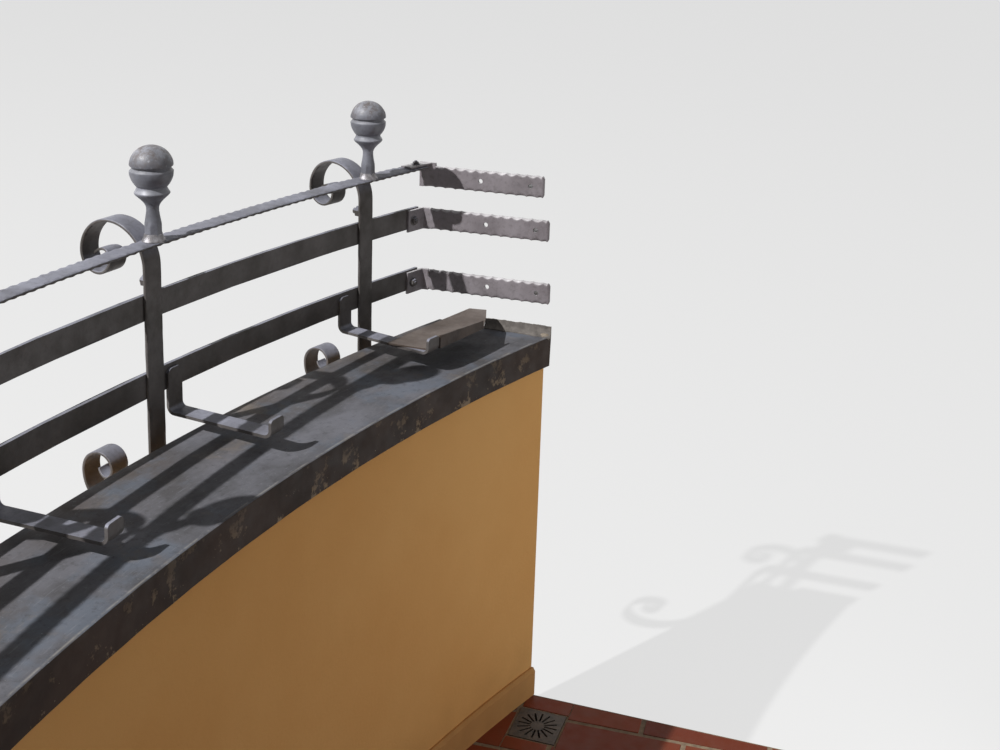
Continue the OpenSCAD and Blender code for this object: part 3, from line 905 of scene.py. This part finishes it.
def nut(bm, matrix, across, height, washer_r, past):
    """Washer, six sided nut and the rounded end of its bolt."""
    r = across / 2 / math.cos(math.pi / 6)
    thin = 0.0015
    lathe(bm, matrix, [(0, washer_r), (thin * 0.8, washer_r), (thin, washer_r * 0.95)], 24)
    top = thin + height
    profile = [(thin, r * 0.94), (thin + 0.0007, r), (top - 0.0009, r), (top, r * 0.88)]
    lathe(bm, matrix, profile, 6, 0.3)
    bolt = across * 0.29
    lathe(bm, matrix, [(top, bolt), (top + past, bolt), (top + past + 0.0008, bolt * 0.8)], 16)


def fasteners():
    """Nuts on the posts and on the strap legs, and the screws in the straps' outer holes. Each one
    sinks a little into what it sits on."""
    sunk = 0.0003
    bm = bmesh.new()
    for number in POSTS:
        matrix = at_post(number)
        at = matrix @ Vector((RAIL_T / 2 - 0.0005, 0, POST_NUT_Z))
        nut(bm, looking(outward(matrix), at), *(FIRST_POST_NUT if number == 1 else POST_NUT))
    piece("post_nuts", bm, [iron])
    bm = bmesh.new()
    matrix = on_rails(STRAP_NUT_S)
    for z in STRAP_Z[:2]:
        at = matrix @ Vector((-RAIL_T / 2 - STRAP_T + sunk, 0, z))
        nut(bm, looking(-outward(matrix), at), *STRAP_NUT)
    at = matrix @ Vector((HAND_X, 0, HAND_Z + HAND_T + STRAP_T - sunk))
    nut(bm, looking((0, 0, 1), at), *LUG_NUT)
    piece("strap_bolts", bm, [iron])
    bm = bmesh.new()
    head = [(-0.002, 0.0028), (0, 0.0043), (0.0008, 0.0041), (0.0012, 0.003)]
    for x, z in zip(STRAP_END, STRAP_Z):
        at = Vector((x - HOLE_END, -STRAP_T + 0.0022, z))
        lathe(bm, looking((0, -1, 0), at), head, 24)
    piece("strap_screws", bm, [zinc])


def strap_path(number):
    """Stations of a strap's back face in plan: (point, direction it faces, how far along the wall,
    or -1 on the leg and the bend). The top strap has no leg."""
    along = Vector((-math.sin(WALL_A), math.cos(WALL_A), 0))
    face = Vector((math.cos(WALL_A), math.sin(WALL_A), 0))
    start = at_plan(RAIL_R - RAIL_T / 2, WALL_A, 0)
    corner = start - along * (start.y / along.y)
    wall, run = Vector((0, -1, 0)), Vector((1, 0, 0))
    stations = []
    first, begin = corner.x - 0.006, 0
    if number < 2:
        for i in range(12):
            reach = STRAP_LEG - (STRAP_LEG - STRAP_BEND) * i / 12
            stations.append((corner + along * reach, -face, -1))
        for i in range(9):
            k = i / 8
            at = corner + along * STRAP_BEND * (1 - k) ** 2 + run * STRAP_BEND * k ** 2
            stations.append((at, (-face * (1 - k) + wall * k).normalized(), -1))
        first, begin = corner.x + STRAP_BEND, 1
    count = 130
    for i in range(begin, count + 1):
        x = first + (STRAP_END[number] - first) * i / count
        stations.append((Vector((x, 0, 0)), wall, x - first))
    return stations


def strap_ring(number, at, facing, run):
    """Section of a strap: a bar whose two edges have hollows hammered in, with a rounded end."""
    z0, end = STRAP_Z[number], STRAP_END[number]
    end_r = 0.006
    share = (end - 0.004 - at.x) / HAMMER_STEP + 0.5
    hollow = math.sin(math.pi * (share % 1)) ** 0.7 if run > 0.008 and share > 0.5 else 0
    left = end - at.x if run >= 0 else 1
    thick = STRAP_T * (0.45 + 0.55 * min(left / 0.003, 1))
    into = end_r - left
    round_end = end_r - math.sqrt(max(end_r ** 2 - into ** 2, 0)) if into > 0 else 0
    ring = []
    for sign in (1, -1):
        own = hollow * (0.75 + 0.5 * wander(at.x * 60, sign, number, 30))
        high = STRAP_HALF_H - 0.0014 * own - round_end
        wide, deep = 0.0012 + 0.0042 * own, 0.0006 + 0.0024 * own
        side = [(high, 0), (high, (thick - deep) * 0.5), (high - 0.0004, thick - deep),
                (high - wide * 0.35, thick - deep * 0.55), (high - wide * 0.7, thick - deep * 0.16),
                (high - wide, thick), (high - wide - 0.003, thick)]
        if sign < 0:
            side = side[::-1]
        ring += [at + facing * out + Vector((0, 0, z0 + sign * z)) for z, out in side]
        if sign > 0:
            ring.append(at + facing * thick + Vector((0, 0, z0)))
    return ring


def cut_out(solid, cutter):
    """Mesh of a solid less another one. Both are bmeshes, and only the result is left."""
    things = []
    for name, bm in (("solid", solid), ("cutter", cutter)):
        things.append(bpy.data.objects.new(name, to_mesh(name, bm)))
        bpy.context.scene.collection.objects.link(things[-1])
    cut = things[0].modifiers.new("holes", "BOOLEAN")
    cut.object = things[1]
    cut.solver = "EXACT"
    cut.operation = "DIFFERENCE"
    graph = bpy.context.evaluated_depsgraph_get()
    mesh = bpy.data.meshes.new_from_object(things[0].evaluated_get(graph))
    for thing in things:
        bpy.data.objects.remove(thing)
    return mesh


def strap(number, name):
    """A wall strap with its two holes. The top one has its lug."""
    body, holes = bmesh.new(), bmesh.new()
    skin(body, [strap_ring(number, *station) for station in strap_path(number)])
    for back in (HOLE_END, HOLE_END + HOLE_GAP):
        at = (STRAP_END[number] - back, 0.01, STRAP_Z[number])
        lathe(holes, looking((0, -1, 0), at), [(0, HOLE_R), (0.03, HOLE_R)], 32)
    mesh = cut_out(body, holes)
    if number == 2:
        bm = bmesh.new()
        bm.from_mesh(mesh)
        lug(bm)
        bm.to_mesh(mesh)
        bm.free()
    mesh.name = name
    piece(name, mesh, [strap_iron_painted_lit], ("wall_" + name,), 40)


def lug(bm):
    """The top strap's lug: it rises beside the wall and folds over the handrail's end."""
    start = strap_path(2)[0][0].x
    low, top = STRAP_Z[2] - 0.012, HAND_Z + HAND_T + STRAP_T

    def dent(u, v):
        return 1 - 0.03 * wander(u * 3, v, 0, 33), 1 - 0.1 * wander(u * 2, v, 1, 34)

    half_w, off_wall = 0.0168, 0.0003
    rings = []
    for i in range(13):
        z = low + (top - 0.0004 - low) * i / 12
        middle = Vector((start + 0.017, -STRAP_T / 2, z))
        ring = bar_ring(middle, Vector((0, -1, 0)), Vector((1, 0, 0)), half_w, STRAP_T / 2, dent)
        rings.append(ring)
    skin(bm, rings)
    rings = []
    for i in range(17):
        matrix = on_rails(STRAP_LEG - 0.063 * i / 16)
        middle = matrix @ Vector((HAND_X, 0, HAND_Z + HAND_T + STRAP_T / 2))
        ring = bar_ring(middle, Vector((0, 0, 1)), outward(matrix),
                        HAND_W / 2 - 0.0004, STRAP_T / 2 - 0.0003, dent)
        rings.append([Vector((p.x, min(p.y, -off_wall), p.z)) for p in ring])
    skin(bm, rings)


def sealant_lump():
    """Filler in the corner between the coping and the house wall."""
    bm = bmesh.new()
    bmesh.ops.create_icosphere(bm, subdivisions=4, radius=1)
    for v in bm.verts:
        v.co *= 0.75 + 0.5 * wander(v.co.x * 1.4, v.co.y * 1.4, v.co.z * 1.4, 4)
        v.co = Vector((COPING_INNER_X - 0.012 + v.co.x * 0.011, -0.006 + v.co.y * 0.0055,
                       COPING_Z - 0.002 + v.co.z * 0.008))
        v.co.y = min(v.co.y, 0)
        v.co.x = min(v.co.x, COPING_INNER_X)
    piece("corner_sealant", bm, [sealant])


dress(ochre, *("parapet_%d" % number for number in range(1, BAYS + 1)))
dress(skirt, "skirting")
dress(concrete, "slab")
dress(cast, "drain_grate")
dress(iron, "upper_rail", "lower_rail", "box_brackets")
dress(rest_iron_brown_and_shaded, "box_rest")
soften(0.0006, "upper_rail", "lower_rail", "box_brackets", "box_rest")
for number in POSTS:
    post_bar(number)
    finial(number)
handrail()
foot_welds()
coping()
upstand()
floor()
for number, name in enumerate(("strap_low", "strap_mid", "strap_top")):
    strap(number, name)
fasteners()
sealant_lump()


# Stage, light and camera

def stage_floor():
    """A wide pale floor just under the object. What the camera and shiny surfaces see of it is
    mixed with white, and it keeps the object's shadow."""
    mesh = bpy.data.meshes.new("stage_floor")
    reach, z, whiter = 40.0, cad_low.z - 0.001, 0.70
    corners = [(-reach, -reach, z), (reach, -reach, z), (reach, reach, z), (-reach, reach, z)]
    mesh.from_pydata(corners, [], [(0, 1, 2, 3)])
    f = Finish("stage_floor", specular=0.1)
    tone = f.mix(f.cloud(0.4, 2), (186, 186, 185), (182, 182, 181))
    material = f.done(tone, 0.95)
    white = f.add("ShaderNodeEmission", {"Color": (1, 1, 1, 1), "Strength": 1.0}).outputs[0]
    share = f.maths("MULTIPLY", f.seen(), whiter)
    mixed = f.add("ShaderNodeMixShader", {0: share, 1: f.shader.outputs[0], 2: white}).outputs[0]
    f.tree.links.new(mixed, f.tree.nodes["Material Output"].inputs[0])
    mesh.materials.append(material)
    thing = bpy.data.objects.new("stage_floor", mesh)
    bpy.context.scene.collection.objects.link(thing)


def world_light(level):
    """An even sky at a plain level, which the camera and shiny surfaces see as white."""
    world = bpy.data.worlds.new("studio")
    world.use_nodes = True
    world.node_tree.nodes.clear()
    n = Nodes(world.node_tree)
    light, white = (n.add("ShaderNodeBackground", {"Color": (1, 1, 1, 1), "Strength": strength})
                    for strength in (level, 1.0))
    inputs = {0: n.seen(), 1: light.outputs[0], 2: white.outputs[0]}
    mixed = n.add("ShaderNodeMixShader", inputs).outputs[0]
    n.add("ShaderNodeOutputWorld", {0: mixed})
    bpy.context.scene.world = world


def lamp(name, middle, direction, distance, size, level):
    """A square soft lamp that adds about level to a white surface that faces it at the place
    middle. Its direction is from there to the lamp. It lights the object and isn't seen itself."""
    data = bpy.data.lights.new(name, "AREA")
    data.size = size
    data.energy = level * math.pi * math.pi * distance ** 2
    thing = bpy.data.objects.new(name, data)
    middle = Vector(middle)
    thing.location = middle + Vector(direction).normalized() * distance
    thing.rotation_euler = (middle - thing.location).to_track_quat("-Z", "Y").to_euler()
    thing.visible_camera = False
    bpy.context.scene.collection.objects.link(thing)


def camera():
    """The photo's camera, from the fit of the part's edges."""
    data = bpy.data.cameras.new("camera")
    data.sensor_width = 36.0
    data.lens = 46.87
    data.shift_y = -0.175
    data.clip_start = 0.05
    thing = bpy.data.objects.new("camera", data)
    thing.location = (0.7433, -2.3116, 1.6079)
    thing.rotation_euler = [math.radians(a) for a in (76.840, -1.7635, 18.127)]
    bpy.context.scene.collection.objects.link(thing)
    bpy.context.scene.camera = thing


stage_floor()
world_light(0.16)
lamp("key", (0.0, -0.9, 0.9), (-0.42, -0.61, 0.68), 12.0, 0.15, 1.4)
lamp("fill", (0.0, -0.1, 0.45), (0.9, 0.1, -0.05), 1.2, 0.8, 0.22)
camera()
bpy.context.scene.view_settings.view_transform = "Standard"
